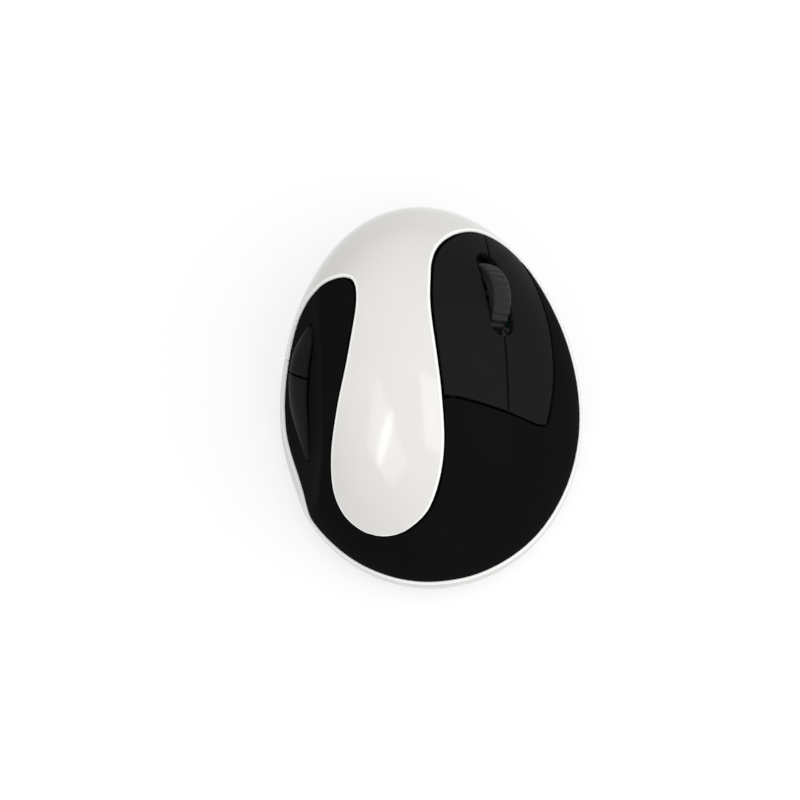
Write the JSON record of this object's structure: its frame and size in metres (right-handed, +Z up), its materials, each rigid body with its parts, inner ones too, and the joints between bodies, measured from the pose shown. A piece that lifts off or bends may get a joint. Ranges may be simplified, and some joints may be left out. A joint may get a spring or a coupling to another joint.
{
  "type": "vertical ergonomic mouse",
  "caption": "Egg-shaped vertical mouse for the right hand: gloss white hood and spine over black grip, click buttons and scroll wheel, with side buttons for the thumb.",
  "frame": {"origin": "on the desk, under the middle of the housing's outline", "axes": "+Z up, +Y towards the front (the hood), +X towards the finger side"},
  "size_m": [0.095, 0.119, 0.066],
  "materials": {
    "white_shell": "glossy moulded, slightly warm white",
    "black_grip": "soft-touch black with a fine grain",
    "black_button": "satin black",
    "side_button": "satin dark grey",
    "base_black": "fine spark-eroded texture",
    "foot": "smooth low-friction pad",
    "screw": "zinc plated",
    "board": "solder mask green",
    "chip": "moulded package",
    "lens": "clear moulded",
    "switch": "moulded black",
    "plunger": "moulded red",
    "tact_plunger": "moulded ivory",
    "metal_can": "folded tin-plated sheet",
    "receiver": "fine texture",
    "cell": "wrapped jacket, grey",
    "spring": "nickel plated",
    "chassis": "moulded dark grey",
    "tyre": "ribbed soft rubber",
    "hub": "moulded dark grey",
    "axle": "ground bar",
    "encoder": "moulded green",
    "rotor": "moulded natural",
    "ribbon": "flat ribbon"
  },
  "bodies": {
    "housing": {"top_cover": "white_shell", "lower_case": "white_shell", "grip_panel": "black_grip", "base_plate": "base_black", "feet": "foot", "base_screws": "screw", "board_screws": "screw", "main_board": "board", "controller_chip": "chip", "sensor": "chip", "lens": "lens", "power_switch": "metal_can", "battery_cells": "cell", "battery_springs": "spring", "battery_plates": "spring", "chassis": "chassis", "button_board": "board", "left_switch": "switch", "right_switch": "switch", "wheel_switch": "switch", "side_board": "board", "forward_switch": "switch", "back_switch": "switch", "button_ribbon": "ribbon", "side_ribbon": "ribbon"},
    "left_button": {"left_button": "black_button"},
    "right_button": {"right_button": "black_button"},
    "left_plunger": {"left_plunger": "plunger"},
    "right_plunger": {"right_plunger": "plunger"},
    "wheel_carrier": {"wheel_carrier": "chassis", "encoder": "encoder"},
    "wheel": {"wheel_hub": "hub", "wheel_tyre": "tyre", "wheel_axle": "axle", "encoder_rotor": "rotor"},
    "wheel_plunger": {"wheel_plunger": "tact_plunger"},
    "forward_button": {"forward_button": "side_button"},
    "back_button": {"back_button": "side_button"},
    "forward_plunger": {"forward_plunger": "tact_plunger"},
    "back_plunger": {"back_plunger": "tact_plunger"},
    "battery_door": {"battery_door": "base_black"},
    "receiver": {"receiver_cap": "receiver", "receiver_plug": "metal_can"},
    "power_slider": {"power_slider": "side_button"}
  },
  "joints": [
    {"name": "left_click", "type": "hinge", "parent": "housing", "child": "left_button", "pos_m": [0.00806, -0.00912, 0.05095], "axis": [-0.7991, -0.1266, 0.5878], "range_deg": [0, 0.8814], "stiffness_Nm_per_rad": 0.5, "springref_deg": -1.15},
    {"name": "left_plunge", "type": "slide", "parent": "housing", "child": "left_plunger", "axis": [-0.5805, -0.0919, -0.809], "range_m": [0, 0.00062]},
    {"name": "right_click", "type": "hinge", "parent": "housing", "child": "right_button", "pos_m": [0.02723, -0.00609, 0.03684], "axis": [-0.7991, -0.1266, 0.5878], "range_deg": [0, 0.8814], "stiffness_Nm_per_rad": 0.5, "springref_deg": -1.15},
    {"name": "right_plunge", "type": "slide", "parent": "housing", "child": "right_plunger", "axis": [-0.5805, -0.0919, -0.809], "range_m": [0, 0.00062]},
    {"name": "wheel_press", "type": "slide", "parent": "housing", "child": "wheel_carrier", "axis": [-0.5805, -0.0919, -0.809], "range_m": [0, 0.0005], "stiffness_N_per_m": 500, "springref_m": -0.001},
    {"name": "wheel_spin", "type": "hinge", "parent": "wheel_carrier", "child": "wheel", "pos_m": [0.01485, 0.02131, 0.04632], "axis": [0.7991, 0.1266, -0.5878], "continuous": true},
    {"name": "wheel_plunge", "type": "slide", "parent": "housing", "child": "wheel_plunger", "axis": [-0.5805, -0.0919, -0.809], "range_m": [0, 0.00052]},
    {"name": "forward_press", "type": "slide", "parent": "housing", "child": "forward_button", "axis": [0.9363, 0.1316, -0.3256], "range_m": [0, 0.0007], "stiffness_N_per_m": 150, "springref_m": -0.002},
    {"name": "forward_plunge", "type": "slide", "parent": "housing", "child": "forward_plunger", "axis": [0.9363, 0.1316, -0.3256], "range_m": [0, 0.00072]},
    {"name": "back_press", "type": "slide", "parent": "housing", "child": "back_button", "axis": [0.9363, 0.1316, -0.3256], "range_m": [0, 0.0007], "stiffness_N_per_m": 150, "springref_m": -0.002},
    {"name": "back_plunge", "type": "slide", "parent": "housing", "child": "back_plunger", "axis": [0.9363, 0.1316, -0.3256], "range_m": [0, 0.00072]},
    {"name": "door_swing", "type": "hinge", "parent": "housing", "child": "battery_door", "pos_m": [0, -0.0127, 0.0008], "axis": [1, 0, 0], "range_deg": [0, 75]},
    {"name": "receiver_pull", "type": "slide", "parent": "housing", "child": "receiver", "axis": [0, 0, -1], "range_m": [0, 0.02]},
    {"name": "power_slide", "type": "slide", "parent": "housing", "child": "power_slider", "axis": [1, 0, 0], "range_m": [0, 0.003]}
  ],
  "couplings": [
    {"joint": "left_plunge", "follows": "left_click", "m_per_rad": 0.039},
    {"joint": "right_plunge", "follows": "right_click", "m_per_rad": 0.039},
    {"joint": "wheel_plunge", "follows": "wheel_press", "ratio": 1},
    {"joint": "forward_plunge", "follows": "forward_press", "ratio": 1},
    {"joint": "back_plunge", "follows": "back_press", "ratio": 1}
  ]
}
